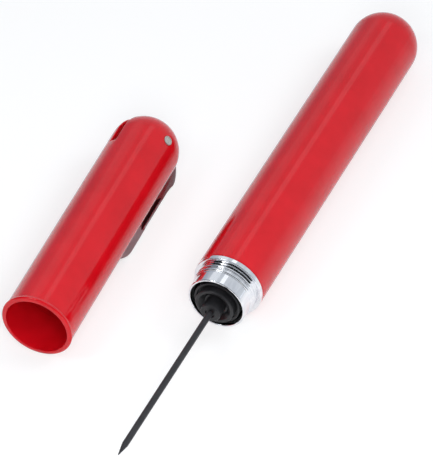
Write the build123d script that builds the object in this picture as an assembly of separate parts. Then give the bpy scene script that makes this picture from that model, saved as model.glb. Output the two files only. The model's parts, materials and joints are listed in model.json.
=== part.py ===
from build123d import *
import os
from math import acos, atan2, cos, degrees, hypot, radians, sin, sqrt

# Air pump wine opener, with its cap taken off and lying beside the pump.
#
# The pump lies along Y on the surface z = 0, its needle towards -Y and the domed end of its
# handle towards +Y. The handle is a tube that slides over an inner barrel. A rod in the handle
# drives a piston in the barrel, and a check valve in the neck lets the air out through the needle.
# The cap carries a folding foil-cutter blade in a slot through its dome, and lies on its mouth
# bead and on the blade's back. Pump sizes along the axis count from the sleeve's mouth, and cap
# sizes from the cap's mouth or from the base of its dome.

# Tubes of the handle and of the cap
tube_diameter = 25.0
sleeve_wall = 1.3
sleeve_length = 131.3
sleeve_end_gap = 0.15
cap_wall = 1.3
cap_headroom = 7.45
mouth_bore_length = 16.0
bore_relief = 0.3

# Mouth bead of the cap
bead_height = 0.4
bead_back = 0.7
bead_length = 1.8
lip_round = 0.3

# Neck collar
flange_thickness = 1.8
flange_round = 0.25
neck_reach = 10.8
neck_step = 1.95
neck_wall = 0.85
neck_rim_round = 0.35
cavity_floor = 1.0
cap_grip_clearance = 0.07
ridge_round_radius = 0.5
ridge_first = 1.8
ridge_pitch = 1.75
ridge_count = 2
spigot_length = 6.0

# Needle seat with its ring, its lip and the dish inside the lip
seat_stem_share = 0.68
seat_stem_rear = 1.5
seat_side_gap = 1.2
seat_back_from_rim = 0.5
seat_skirt_round = 0.35
seat_ring_width = 1.0
seat_ring_height = 0.7
seat_ring_round = 0.3
lip_side_gap = 0.4
lip_reach = 2.2
lip_inner_share = 0.83
lip_edge_round = 0.4
dish_root_share = 0.6
dish_depth = 1.8

# Gasket behind the seat, liner round it and the hub in front
gasket_thickness = 0.8
liner_wall = 0.5
liner_back_from_rim = 1.8
hub_side_gap = 0.65
hub_stem_share = 0.8
hub_stem_length = 6.3
hub_reach = 5.1
hub_front_round = 0.45
hub_well_share = 0.5
hub_well_round = 0.16
hub_well_depth = 0.5

# Needle
needle_diameter = 2.2
needle_bore = 1.1
needle_reach = 75.6
needle_point_length = 5.1
needle_point_flat = 0.3
side_hole_diameter = 0.7
side_hole_back = 8.0
needle_tail = 0.8
tail_step = 0.3

# Check valve
chamber_share = 0.57
chamber_floor_wall = 1.6
valve_seat_length = 3.0
valve_bore_share = 0.62
ball_share = 0.7
ball_gap = 0.03
spring_wire = 0.3
spring_share = 0.85
spring_turns = 5

# Barrel and its head
barrel_gap = 0.8
barrel_wall = 1.6
head_space = 4.0
head_flange_length = 3.0
head_plug_length = 4.0
vent_diameter = 2.0
vent_count = 4
seal_section = 1.4
seal_gap = 0.03
seal_groove_side_gap = 0.1
barrel_seal_back = 3.4

# Bearings
running_clearance = 0.06
bush_length = 24.0

# Piston and rod
rod_diameter = 5.0
rod_socket_depth = 10.0
boss_diameter = 10.0
boss_length = 5.3
piston_length = 9.0
piston_above_stem = 1.5
piston_clearance = 0.09
rod_stud_diameter = 3.2
stud_clearance = 0.05
swivel_gap = 0.1
washer_thickness = 0.8
washer_diameter = 7.0
screw_head_diameter = 5.6
screw_head_height = 1.6
screw_diameter = 1.8
screw_length = 6.0
screw_recess_gap = 0.4
piston_recess_gap = 0.4
socket_across_flats = 2.0
socket_depth = 0.9
nut_across_flats = 8.0
nut_thickness = 3.0

# Slot, blade carrier and pivot in the cap
slot_width = 3.2
notch_depth = 7.7
pocket_depth = 47.0
carrier_wall = 1.2
carrier_floor = 1.6
needle_relief_diameter = 5.0
pivot_above_base = 0.5
pin_diameter = 3.4
pin_end_round = 0.25
pivot_clearance = 0.05
washer_side_gap = 0.05
pivot_washer_diameter = 8.0

# Foil-cutter blade, in the plane of the slot
blade_thickness = 1.8
blade_tang_diameter = 8.8
blade_stop_gap = 0.2
blade_top_drop = 7.2
blade_heel_corner = 1.6
shoulder_shares = (0.7, 0.84)
blade_hump_proud = 3.9
blade_hump_length = 6.5
blade_back_proud = 3.3
blade_back_end = 36.4
blade_tip_drop = 6.4
nose_slope_share = 0.45
belly_shares = (0.5, 0.25)
tang_root = 2.9
blade_length = 45.6
blade_width = 9.6
blade_edge_end = 40.0
blade_heel_start = 12.0
blade_heel_drop = 1.1
blade_heel_gap = 0.2
blade_bevel_width = 1.6
blade_edge_thickness = 0.5
tooth_radius = 0.8
tooth_depth = 0.5
tooth_pitch = 2.0
tooth_count = 13
nick_start = 8.8
nick_end = 27.4
nick_edge_in = 1.0
nick_bulge = 2.6
nick_depth = 0.5

# How the cap lies beside the pump
cap_side_offset = 50.175
cap_mouth_ahead = 46.45
cap_yaw = 2.6

# Clearance of pieces fixed to each other
fixed_clearance = 0.02

# Overrun of cutting tools
overrun = 1.0

# Radii and places that follow from the sizes above
tube_radius = tube_diameter / 2
sleeve_bore_radius = tube_radius - sleeve_wall
cap_bore_radius = tube_radius - cap_wall
cap_inner_radius = cap_bore_radius + bore_relief
bead_radius = tube_radius + bead_height
neck_radius = tube_radius - neck_step
neck_bore_radius = neck_radius - neck_wall
ridge_radius = cap_bore_radius - cap_grip_clearance
barrel_radius = sleeve_bore_radius - barrel_gap
barrel_bore_radius = barrel_radius - barrel_wall
stem_radius = barrel_bore_radius * seat_stem_share
stem_rear = spigot_length + seat_stem_rear
seat_radius = neck_bore_radius - seat_side_gap
seat_front = -(neck_reach - seat_back_from_rim)
ring_inner = seat_radius - seat_ring_width
lip_radius = ring_inner - lip_side_gap
lip_front = seat_front - lip_reach
dish_root = lip_radius * dish_root_share
dish_floor = lip_front + dish_depth
seat_base = -(cavity_floor + gasket_thickness)
hub_radius = dish_root - hub_side_gap
hub_stem_radius = hub_radius * hub_stem_share
hub_well_radius = hub_radius * hub_well_share
hub_front = dish_floor - hub_reach
hub_stem_end = dish_floor + hub_stem_length
needle_radius = needle_diameter / 2
tail_radius = needle_radius - tail_step
needle_tip = -(neck_reach + needle_reach)
needle_shoulder = needle_tip + needle_point_length
needle_end = hub_stem_end - needle_tail
chamber_radius = stem_radius * chamber_share
chamber_floor = hub_stem_end + chamber_floor_wall
valve_seat_front = stem_rear - valve_seat_length
ball_radius = chamber_radius * ball_share
valve_bore_radius = ball_radius * valve_bore_share
ball_centre = valve_seat_front - sqrt(ball_radius**2 - valve_bore_radius**2) - ball_gap
bush_radius = barrel_radius + running_clearance
head_radius = sleeve_bore_radius - running_clearance
rod_radius = rod_diameter / 2
dome_centre = sleeve_length
boss_bottom = dome_centre - boss_length
head_top = boss_bottom - nut_thickness - head_space
barrel_length = head_top - head_flange_length
rod_top = boss_bottom + rod_socket_depth
piston_bottom = stem_rear + piston_above_stem
piston_top = piston_bottom + piston_length
piston_radius = barrel_bore_radius - piston_clearance
recess_top = piston_bottom + washer_thickness + screw_head_height + screw_recess_gap
stud_end = recess_top - swivel_gap
stud_radius = rod_stud_diameter / 2
seal_radius = seal_section / 2
pin_radius = pin_diameter / 2
cap_length = neck_reach + needle_reach - flange_thickness + cap_headroom
pivot_y = cap_length + pivot_above_base
half_slot = slot_width / 2
half_blade = blade_thickness / 2
blade_hump_reach = tube_radius + blade_hump_proud
blade_back_reach = tube_radius + blade_back_proud
blade_top_reach = blade_back_reach - blade_top_drop
blade_tip_reach = blade_back_reach - blade_tip_drop
blade_edge_reach = blade_back_reach - blade_width
blade_heel_reach = blade_edge_reach - blade_heel_drop
pocket_floor = blade_heel_reach - blade_heel_gap

# Place on the surface: the box round the whole is centred on the origin
cap_x_shift = cap_side_offset + cap_length * sin(radians(cap_yaw)) + tube_radius
pump_x = (cap_x_shift - tube_radius) / 2
mouth_y = -(sleeve_length + tube_radius + needle_tip) / 2
cap_roll = degrees(
    acos(bead_radius / hypot(blade_hump_reach, half_blade)) + atan2(half_blade, blade_hump_reach)
)
pump_place = Pos(pump_x, mouth_y, tube_radius)
cap_place = (
    Pos(pump_x - cap_side_offset, mouth_y - cap_mouth_ahead, bead_radius)
    * Rot(0, 0, cap_yaw)
    * Rot(0, -cap_roll, 0)
)


def turned(outline):
    """Solid of revolution about Y from a closed outline of (radius, distance along Y)."""
    return revolve(make_face(outline), Axis.Y, 360)


def band(inner, outer, start, end):
    """Plain ring or disc about Y between two radii and two places."""
    return turned(Polyline((inner, start), (outer, start), (outer, end), (inner, end), close=True))


def o_ring(middle_radius, section_radius, y):
    """Round ring about Y."""
    return revolve(Pos(middle_radius, y) * Circle(section_radius), Axis.Y, 360)


def dome_profile(radius, y, inner_radius=0.0):
    """Quarter-circle edge of a dome, from the tube's side in to the inner radius."""
    end_height = sqrt(radius**2 - inner_radius**2)
    half = degrees(atan2(end_height, inner_radius)) / 2
    middle = (radius * cos(radians(half)), y + radius * sin(radians(half)))
    return ThreePointArc((radius, y), middle, (inner_radius, y + end_height))


def hexagon(across_flats, start, end):
    """Hexagonal prism about Y."""
    face = Plane.XZ * RegularPolygon(across_flats / 2, 6, major_radius=False)
    return Pos(0, end, 0) * extrude(face, end - start)


# Pump core: everything fixed to the neck


def neck_collar():
    """Chrome neck: flange flush with the sleeve, snap ridges, open front and rear spigot."""
    corners = (
        (stem_radius, spigot_length),
        (barrel_bore_radius, spigot_length),
        (barrel_bore_radius, 0),
        (tube_radius, 0),
        (tube_radius, -flange_thickness),
        (neck_radius, -flange_thickness),
        (neck_radius, -neck_reach),
        (neck_bore_radius, -neck_reach),
        (neck_bore_radius, -cavity_floor),
        (stem_radius, -cavity_floor),
    )
    rounds = (0, 0, 0, flange_round, flange_round, flange_round, neck_rim_round, neck_rim_round, 0, 0)
    body = turned(FilletPolyline(*corners, radius=rounds, close=True))
    for ridge in range(ridge_count):
        ridge_y = -(flange_thickness + ridge_first + ridge * ridge_pitch)
        body += o_ring(ridge_radius - ridge_round_radius, ridge_round_radius, ridge_y)
    groove_floor = barrel_bore_radius - seal_section
    groove_half = seal_radius + seal_groove_side_gap
    groove = band(
        groove_floor - seal_gap, tube_radius, barrel_seal_back - groove_half, barrel_seal_back + groove_half
    )
    return body - groove


def barrel_seal():
    """O-ring in the spigot's groove, against the barrel's bore."""
    return o_ring(barrel_bore_radius - seal_radius - seal_gap, seal_radius, barrel_seal_back)


def pump_barrel():
    """Inner cylinder, seated on the flange's back."""
    return band(barrel_bore_radius, barrel_radius, 0, barrel_length)


def barrel_head():
    """Top plug of the barrel: guides the rod, runs in the sleeve and lets air in through vents."""
    rod_hole = rod_radius + running_clearance
    plug_end = barrel_length - head_plug_length
    corners = (
        (rod_hole, plug_end),
        (barrel_bore_radius, plug_end),
        (barrel_bore_radius, barrel_length),
        (head_radius, barrel_length),
        (head_radius, head_top),
        (rod_hole, head_top),
    )
    body = turned(Polyline(*corners, close=True))
    vent_ring = (rod_hole + barrel_bore_radius) / 2
    drill = Plane.XZ * Circle(vent_diameter / 2)
    drill = Pos(0, head_top + overrun, 0) * extrude(drill, head_top - plug_end + 2 * overrun)
    for vent in range(vent_count):
        body -= Rot(0, vent * 360 / vent_count, 0) * Pos(vent_ring, 0, 0) * drill
    return body


def needle_seat():
    """Black plug in the neck: stem with the valve chamber, front ring, and lip round a dish for the hub."""
    groove_floor = seat_front + seat_ring_height
    lip_inner = lip_radius * lip_inner_share
    corners = (
        (chamber_radius, stem_rear),
        (stem_radius, stem_rear),
        (stem_radius, seat_base),
        (seat_radius, seat_base),
        (seat_radius, seat_front),
        (ring_inner, seat_front),
        (ring_inner, groove_floor),
        (lip_radius, groove_floor),
        (lip_radius, lip_front),
        (lip_inner, lip_front),
        (dish_root, dish_floor),
        (hub_stem_radius, dish_floor),
        (hub_stem_radius, hub_stem_end),
        (valve_bore_radius, hub_stem_end),
        (valve_bore_radius, chamber_floor),
        (chamber_radius, chamber_floor),
    )
    ring_rounds = (seat_skirt_round, seat_ring_round, seat_ring_round, 0, 0)
    lip_rounds = (lip_edge_round, lip_edge_round)
    rounds = (0, 0, 0) + ring_rounds + lip_rounds + (0, 0, 0, 0, 0, 0)
    return turned(FilletPolyline(*corners, radius=rounds, close=True))


def seat_gasket():
    """Flat gasket between the seat and the floor of the neck's cavity."""
    return band(stem_radius, seat_radius, seat_base, -cavity_floor)


def neck_liner():
    """Black sleeve that lines the neck's bore round the seat."""
    inner = neck_bore_radius - liner_wall
    return band(inner, neck_bore_radius - fixed_clearance, liner_back_from_rim - neck_reach, -cavity_floor)


def needle_hub():
    """Black boss in the seat's dish, with a glue well round the needle."""
    well_floor = hub_front + hub_well_depth
    corners = (
        (tail_radius, hub_stem_end),
        (hub_stem_radius, hub_stem_end),
        (hub_stem_radius, dish_floor),
        (hub_radius, dish_floor),
        (hub_radius, hub_front),
        (hub_well_radius, hub_front),
        (hub_well_radius, well_floor),
        (tail_radius, well_floor),
    )
    rounds = (0, 0, 0, 0, hub_front_round, hub_well_round, 0, 0)
    return turned(FilletPolyline(*corners, radius=rounds, close=True))


def needle():
    """Hollow needle: thinner tail in the hub, closed pencil point and side holes behind it."""
    bore = needle_bore / 2
    hole_y = needle_tip + side_hole_back
    bore_end = hole_y - side_hole_diameter
    corners = (
        (bore, needle_end),
        (tail_radius, needle_end),
        (tail_radius, hub_front),
        (needle_radius, hub_front),
        (needle_radius, needle_shoulder),
        (needle_point_flat / 2, needle_tip),
        (0, needle_tip),
        (0, bore_end),
        (bore, bore_end),
    )
    body = turned(Polyline(*corners, close=True))
    side_hole = Rot(0, 90, 0) * Cylinder(side_hole_diameter / 2, needle_diameter + overrun)
    return body - Pos(0, hole_y, 0) * side_hole


def valve_seat():
    """Ring in the rear of the chamber that the check ball closes on."""
    return band(valve_bore_radius, chamber_radius, valve_seat_front, stem_rear)


def valve_ball():
    """Check ball, resting just off its seat."""
    return Pos(0, ball_centre, 0) * Sphere(ball_radius)


def valve_spring():
    """Coil spring between the chamber's floor and the ball."""
    wire = spring_wire / 2
    coil = ball_radius * spring_share - wire
    foot = chamber_floor + wire
    top = ball_centre - sqrt((ball_radius + wire) ** 2 - coil**2) - ball_gap
    pitch = (top - foot) / spring_turns
    path = Helix(pitch, top - foot, coil, center=(0, foot, 0), direction=(0, 1, 0))
    section = Plane(path @ 0, z_dir=path % 0) * Circle(wire)
    return sweep(section, path)


# Piston: slides in the barrel


def piston_head():
    """Piston with a seal groove, a hole for the rod's stud and a recess for washer and screw."""
    hole = stud_radius + stud_clearance
    recess_radius = washer_diameter / 2 + piston_recess_gap
    corners = (
        (hole, recess_top),
        (recess_radius, recess_top),
        (recess_radius, piston_bottom),
        (piston_radius, piston_bottom),
        (piston_radius, piston_top),
        (hole, piston_top),
    )
    body = turned(Polyline(*corners, close=True))
    middle = (piston_bottom + piston_top) / 2
    groove_half = seal_radius + seal_groove_side_gap
    groove_floor = barrel_bore_radius - seal_section - 2 * seal_gap
    return body - band(groove_floor, tube_radius, middle - groove_half, middle + groove_half)


def piston_seal():
    """O-ring in the piston's groove."""
    middle = (piston_bottom + piston_top) / 2
    return o_ring(barrel_bore_radius - seal_radius - seal_gap, seal_radius, middle)


# Handle: slides and turns on the core


def handle_sleeve():
    """Outer tube with a domed end and an inner boss that takes the rod."""
    boss_radius = boss_diameter / 2
    outside = Line((tube_radius, sleeve_end_gap), (tube_radius, dome_centre))
    outside += dome_profile(tube_radius, dome_centre)
    boss = Polyline(
        (0, dome_centre + tube_radius),
        (0, rod_top),
        (rod_radius, rod_top),
        (rod_radius, boss_bottom),
        (boss_radius, boss_bottom),
        (boss_radius, dome_centre + sqrt(sleeve_bore_radius**2 - boss_radius**2)),
    )
    inside = dome_profile(sleeve_bore_radius, dome_centre, boss_radius)
    inside += Polyline(
        (sleeve_bore_radius, dome_centre),
        (sleeve_bore_radius, sleeve_end_gap),
        (tube_radius, sleeve_end_gap),
    )
    return turned(outside + boss + inside)


def mouth_bush():
    """Plain bearing inside the sleeve's mouth, which stops the sleeve at the barrel's head."""
    return band(bush_radius, sleeve_bore_radius, sleeve_end_gap, sleeve_end_gap + bush_length)


def piston_rod():
    """Rod from the dome's boss to a stud that turns in the piston."""
    shoulder = piston_top + swivel_gap
    tap = screw_diameter / 2
    tap_end = stud_end + screw_length + overrun
    corners = (
        (tap, stud_end),
        (stud_radius, stud_end),
        (stud_radius, shoulder),
        (rod_radius, shoulder),
        (rod_radius, rod_top),
        (0, rod_top),
        (0, tap_end),
        (tap, tap_end),
    )
    return turned(Polyline(*corners, close=True))


def rod_washer():
    """Washer on the stud's end, which carries the piston."""
    return band(screw_diameter / 2, washer_diameter / 2, stud_end - washer_thickness, stud_end)


def rod_screw():
    """Socket screw up into the rod's end."""
    head_end = stud_end - washer_thickness
    head = band(0, screw_head_diameter / 2, head_end - screw_head_height, head_end)
    shank = band(0, screw_diameter / 2, head_end, stud_end + screw_length)
    socket_end = head_end - screw_head_height + socket_depth
    socket = hexagon(socket_across_flats, head_end - screw_head_height - overrun, socket_end)
    return head + shank - socket


def rod_nut():
    """Hexagon nut that locks the rod under the dome's boss."""
    body = hexagon(nut_across_flats, boss_bottom - nut_thickness, boss_bottom)
    hole = rod_radius + fixed_clearance
    return body - band(0, hole, boss_bottom - nut_thickness - overrun, boss_bottom + overrun)


# Cap: local frame with its mouth at y = 0, the pin along X and the blade towards -Z


def slot_cut(inner_side):
    """Slot through the dome, down to the notch on +Z and to the pocket on -Z."""
    top = cap_length + tube_radius + overrun
    reach = tube_radius + overrun
    notch = Box(slot_width, top - (cap_length - notch_depth), reach + tube_radius + overrun)
    notch = Pos(0, (top + cap_length - notch_depth) / 2, 0) * notch
    pocket = Box(slot_width, pocket_depth, reach - inner_side)
    pocket = Pos(0, cap_length - pocket_depth / 2, -(reach + inner_side) / 2) * pocket
    return notch + pocket


def pivot_hole(radius):
    """Cylinder along the pin, for holes."""
    return Pos(0, pivot_y, 0) * Rot(0, 90, 0) * Cylinder(radius, tube_diameter + 2 * overrun)


def cap_shell():
    """Cap tube: beaded mouth with a snug bore, a slightly wider inside, a domed end and the slot."""
    bead = Spline(
        (cap_bore_radius + lip_round, 0),
        (bead_radius, bead_back),
        tangents=((1, 0), (0, 1)),
    )
    bead += Spline(
        (bead_radius, bead_back),
        (tube_radius, bead_length),
        tangents=((0, 1), (0, 1)),
    )
    outside = Line((tube_radius, bead_length), (tube_radius, cap_length))
    outside += dome_profile(tube_radius, cap_length)
    wall = Line((0, cap_length + tube_radius), (0, cap_length + cap_inner_radius))
    inside = dome_profile(cap_inner_radius, cap_length)
    inside += Polyline(
        (cap_inner_radius, cap_length),
        (cap_inner_radius, mouth_bore_length + bore_relief),
        (cap_bore_radius, mouth_bore_length),
        (cap_bore_radius, lip_round),
        (cap_bore_radius + lip_round, 0),
    )
    body = turned(bead + outside + wall + inside)
    return body - slot_cut(pocket_floor) - pivot_hole(pin_radius)


def blade_carrier():
    """Insert in the cap's dome end: a plug round the pivot and a box round the folded blade."""
    plug_bottom = cap_length - notch_depth - carrier_floor
    plug_edge = Line((0, plug_bottom), (cap_inner_radius, plug_bottom))
    plug_edge += Line((cap_inner_radius, plug_bottom), (cap_inner_radius, cap_length))
    plug_edge += dome_profile(cap_inner_radius, cap_length)
    plug_edge += Line((0, cap_length + cap_inner_radius), (0, plug_bottom))
    plug = turned(plug_edge)
    box_bottom = cap_length - pocket_depth - carrier_wall
    box_inner = pocket_floor - carrier_wall
    box = Box(slot_width + 2 * carrier_wall, plug_bottom - box_bottom + overrun, tube_radius - box_inner)
    box_centre = -(tube_radius + box_inner) / 2
    box = Pos(0, (plug_bottom + overrun + box_bottom) / 2, box_centre) * box
    box &= band(0, cap_inner_radius, box_bottom - overrun, plug_bottom + 2 * overrun)
    relief = band(0, needle_relief_diameter / 2, plug_bottom - overrun, cap_length - notch_depth + overrun)
    return plug + box - slot_cut(pocket_floor) - pivot_hole(pin_radius + fixed_clearance) - relief


def hinge_pin():
    """Cross pin, flush with the dome at both ends."""
    half_length = sqrt(tube_radius**2 - pivot_above_base**2)
    pin = Cylinder(pin_radius, 2 * half_length)
    ends = pin.edges().filter_by(GeomType.CIRCLE)
    pin = fillet(ends, pin_end_round)
    return Pos(0, pivot_y, 0) * Rot(0, 90, 0) * pin


def pivot_washers():
    """Two friction washers on the pin, beside the blade."""
    thickness = half_slot - half_blade - 2 * washer_side_gap
    washer = Cylinder(pivot_washer_diameter / 2, thickness) - Cylinder(pin_radius, thickness + overrun)
    place = half_blade + washer_side_gap + thickness / 2
    washers = [Pos(side * place, pivot_y, 0) * Rot(0, 90, 0) * washer for side in (-1, 1)]
    return Compound(washers)


def blade_point(above, out):
    """Point of the blade's plane: distance above the dome's base, and out from the cap's axis."""
    return (0, cap_length + above, -out)


def blade_outline():
    """Folded blade's outline: top over the dome, back, tip, edge and heel."""
    top = 2 * pivot_above_base + notch_depth - blade_stop_gap
    over_top = Spline(
        blade_point(top, blade_top_reach),
        blade_point(top * shoulder_shares[0], blade_hump_reach * shoulder_shares[1]),
        blade_point(0, blade_hump_reach),
        blade_point(-blade_hump_length, blade_back_reach),
        tangents=((0, 0, -1), (0, -1, 0)),
    )
    back = Line(
        blade_point(-blade_hump_length, blade_back_reach),
        blade_point(-blade_back_end, blade_back_reach),
    )
    nose = Spline(
        blade_point(-blade_back_end, blade_back_reach),
        blade_point(-blade_length, blade_tip_reach),
        tangents=((0, -1, 0), (0, -nose_slope_share, 1)),
    )
    belly_height = blade_edge_end + (blade_length - blade_edge_end) * belly_shares[0]
    belly_reach = blade_edge_reach + (blade_tip_reach - blade_edge_reach) * belly_shares[1]
    belly = ThreePointArc(
        blade_point(-blade_length, blade_tip_reach),
        blade_point(-belly_height, belly_reach),
        blade_point(-blade_edge_end, blade_edge_reach),
    )
    root = Polyline(
        blade_point(-blade_edge_end, blade_edge_reach),
        blade_point(-blade_heel_start, blade_edge_reach),
        blade_point(-blade_heel_start, blade_heel_reach),
        blade_point(-notch_depth, blade_heel_reach),
        blade_point(-tang_root, 0),
        blade_point(top - blade_heel_corner, 0),
        blade_point(top, blade_heel_corner),
        blade_point(top, blade_top_reach),
    )
    return over_top + back + nose + belly + root


def edge_bevel(side):
    """Wedge that thins one side of the blade towards its edge."""
    half_edge = blade_edge_thickness / 2
    inner = blade_edge_reach - overrun
    outer = blade_edge_reach + blade_bevel_width
    corners = (
        (side * half_blade, -outer),
        (side * half_edge, -blade_edge_reach),
        (side * half_edge, -inner),
        (side * (half_blade + overrun), -inner),
        (side * (half_blade + overrun), -outer),
    )
    face = Plane.XZ * make_face(Polyline(*corners, close=True))
    length = blade_length - blade_heel_start
    return Pos(0, cap_length - blade_heel_start, 0) * extrude(face, length)


def nail_nick(side):
    """Crescent as a tilted disc cutter leaves it: steep wall by the blade's back, floor rising inwards."""
    chord = nick_end - nick_start
    disc_radius = (chord / 2) ** 2 / (2 * nick_depth) + nick_depth / 2
    tilt = degrees(atan2(nick_depth, nick_bulge))
    disc = Cylinder(disc_radius, tube_diameter, align=(Align.CENTER, Align.CENTER, Align.MIN))
    disc = Rot(0, side * tilt, 0) * Pos(side * disc_radius, 0, 0) * disc
    middle = cap_length - (nick_start + nick_end) / 2
    return Pos(side * (half_blade - nick_depth), middle, nick_edge_in - blade_back_reach) * disc


def foil_blade():
    """Foil-cutter blade, folded: back outwards, toothed edge inwards, nail nick on both sides."""
    body = extrude(make_face(blade_outline()), half_blade, both=True)
    tang = Cylinder(blade_tang_diameter / 2, blade_thickness)
    body += Pos(0, pivot_y, 0) * Rot(0, 90, 0) * tang
    for side in (-1, 1):
        body -= edge_bevel(side)
        body -= nail_nick(side)
    tooth = Rot(0, 90, 0) * Cylinder(tooth_radius, blade_thickness + overrun)
    tooth_out = blade_edge_reach + tooth_depth - tooth_radius
    for index in range(tooth_count):
        tooth_y = cap_length - blade_heel_start - (index + 1) * tooth_pitch
        body -= Pos(0, tooth_y, -tooth_out) * tooth
    return body - pivot_hole(pin_radius + pivot_clearance)


pump_nodes = {
    "neck_collar": neck_collar,
    "pump_barrel": pump_barrel,
    "barrel_head": barrel_head,
    "barrel_seal": barrel_seal,
    "needle_seat": needle_seat,
    "seat_gasket": seat_gasket,
    "neck_liner": neck_liner,
    "needle_hub": needle_hub,
    "needle": needle,
    "valve_seat": valve_seat,
    "valve_ball": valve_ball,
    "valve_spring": valve_spring,
    "piston_head": piston_head,
    "piston_seal": piston_seal,
    "handle_sleeve": handle_sleeve,
    "mouth_bush": mouth_bush,
    "piston_rod": piston_rod,
    "rod_washer": rod_washer,
    "rod_screw": rod_screw,
    "rod_nut": rod_nut,
}

cap_nodes = {
    "cap_shell": cap_shell,
    "blade_carrier": blade_carrier,
    "hinge_pin": hinge_pin,
    "pivot_washers": pivot_washers,
    "foil_blade": foil_blade,
}

os.makedirs("parts", exist_ok=True)
for name, make in pump_nodes.items():
    export_step(pump_place * make(), f"parts/{name}.step")
for name, make in cap_nodes.items():
    export_step(cap_place * make(), f"parts/{name}.step")
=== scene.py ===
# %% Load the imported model
import json
import math
from contextlib import contextmanager

import bmesh
import bpy
import numpy as np
from mathutils import Matrix, Vector

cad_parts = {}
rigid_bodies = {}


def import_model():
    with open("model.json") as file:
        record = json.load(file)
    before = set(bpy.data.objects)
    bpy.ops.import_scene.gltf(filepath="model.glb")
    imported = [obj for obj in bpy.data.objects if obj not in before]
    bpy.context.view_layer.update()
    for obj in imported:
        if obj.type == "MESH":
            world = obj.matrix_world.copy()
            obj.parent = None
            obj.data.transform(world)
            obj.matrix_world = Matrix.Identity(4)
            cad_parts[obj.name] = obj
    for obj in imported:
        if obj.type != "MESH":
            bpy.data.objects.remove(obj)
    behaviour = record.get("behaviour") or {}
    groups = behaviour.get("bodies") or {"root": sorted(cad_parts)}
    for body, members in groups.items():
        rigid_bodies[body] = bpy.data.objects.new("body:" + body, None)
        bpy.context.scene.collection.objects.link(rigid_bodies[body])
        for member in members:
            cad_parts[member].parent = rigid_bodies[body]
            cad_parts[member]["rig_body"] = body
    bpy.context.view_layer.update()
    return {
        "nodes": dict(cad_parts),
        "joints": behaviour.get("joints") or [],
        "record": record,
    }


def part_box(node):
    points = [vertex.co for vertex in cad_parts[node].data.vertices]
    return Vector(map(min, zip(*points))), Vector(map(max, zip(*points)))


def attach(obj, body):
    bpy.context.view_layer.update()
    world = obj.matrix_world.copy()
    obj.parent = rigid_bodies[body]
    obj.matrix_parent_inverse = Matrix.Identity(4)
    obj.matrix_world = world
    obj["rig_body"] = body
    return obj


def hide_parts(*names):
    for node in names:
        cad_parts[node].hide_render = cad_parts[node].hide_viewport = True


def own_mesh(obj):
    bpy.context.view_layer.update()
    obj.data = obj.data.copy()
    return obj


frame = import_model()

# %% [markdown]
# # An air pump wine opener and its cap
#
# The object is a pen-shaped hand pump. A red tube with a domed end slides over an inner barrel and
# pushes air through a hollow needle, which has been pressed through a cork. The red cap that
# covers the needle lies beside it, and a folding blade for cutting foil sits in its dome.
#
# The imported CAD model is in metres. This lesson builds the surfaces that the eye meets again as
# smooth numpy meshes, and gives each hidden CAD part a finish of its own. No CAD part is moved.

mm = 0.001
nodes = frame["nodes"]

# %% [markdown]
# ## Where the pump and the cap lie
#
# The pump's axis runs along +Y. Its places are counted from the mouth of the red sleeve. The cap
# is turned a little and rolled onto its blade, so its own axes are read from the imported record:
# the bore mount points out of the mouth, and the blade's hinge gives the pin's line. A local
# frame for each keeps all the shapes below simple surfaces round the Y axis.

# %% Local frames of the pump and of the cap
sleeve_end_gap = 0.15 * mm
pivot_from_mouth = 92.55 * mm


def named(rows, name):
    """The row of that name in a list of the record."""
    return next(row for row in rows if row["name"] == name)


def add_object(name, data):
    """New object with the data, linked to the scene."""
    thing = bpy.data.objects.new(name, data)
    bpy.context.scene.collection.objects.link(thing)
    return thing


def aim(thing, target, towards, distance):
    """Puts a camera or a lamp at a distance from its target and turns it to face it."""
    thing.location = target + towards * distance
    thing.rotation_euler = (-towards).to_track_quat("-Z", "Y").to_euler()


def local_frame(origin, along, across):
    """Matrix whose columns are the across, along and third axes, with the origin's place."""
    rows = Matrix((across, along, across.cross(along))).transposed().to_4x4()
    return Matrix.Translation(origin) @ rows


sleeve_low, sleeve_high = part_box("handle_sleeve")
sleeve_middle = (sleeve_low + sleeve_high) / 2
pump_origin = Vector((sleeve_middle.x, sleeve_low.y - sleeve_end_gap, sleeve_middle.z))
pump_place = local_frame(pump_origin, Vector((0, 1, 0)), Vector((1, 0, 0)))

fold = named(frame["joints"], "blade_fold")
mouth = named(frame["record"]["mounts"], "cap_mouth")
cap_along = -Vector(mouth["axis"]).normalized()
cap_across = Vector(fold["axis"]).normalized()
cap_origin = Vector(fold["pos_m"]) - cap_along * pivot_from_mouth
cap_place = local_frame(cap_origin, cap_along, cap_across)
print("pump mouth at", [round(v / mm, 2) for v in pump_origin])
print("cap mouth at", [round(v / mm, 2) for v in cap_origin])

# %% [markdown]
# ## The camera
#
# The photograph was taken from well above and a little to the right, with a long lens, so the two
# tubes hardly taper. It is given by what it looks at, the two angles it looks from, its distance
# and its focal length in pixels. The Standard view leaves colours as they are written.

# %% Camera at the photograph's viewing angle
camera_target = Vector((12.47, -7.63, 12.5)) * mm
camera_azimuth = math.radians(25.0)
camera_elevation = math.radians(45.0)
camera_distance = 1414.5 * mm
focal_pixels = 4106.0
picture_height = 461.0
sensor_size = 36.0

level = math.cos(camera_elevation)
towards_camera = Vector((
    math.sin(camera_azimuth) * level,
    -math.cos(camera_azimuth) * level,
    math.sin(camera_elevation),
))
camera_data = bpy.data.cameras.new("photo_camera")
camera_data.sensor_width = sensor_size
camera_data.lens = focal_pixels * sensor_size / picture_height
camera_data.clip_start = 0.05
camera_data.clip_end = 20.0
camera = add_object("photo_camera", camera_data)
aim(camera, camera_target, towards_camera, camera_distance)
bpy.context.scene.camera = camera
bpy.context.scene.view_settings.view_transform = "Standard"
print("lens", round(camera_data.lens, 1), "mm")

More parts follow.
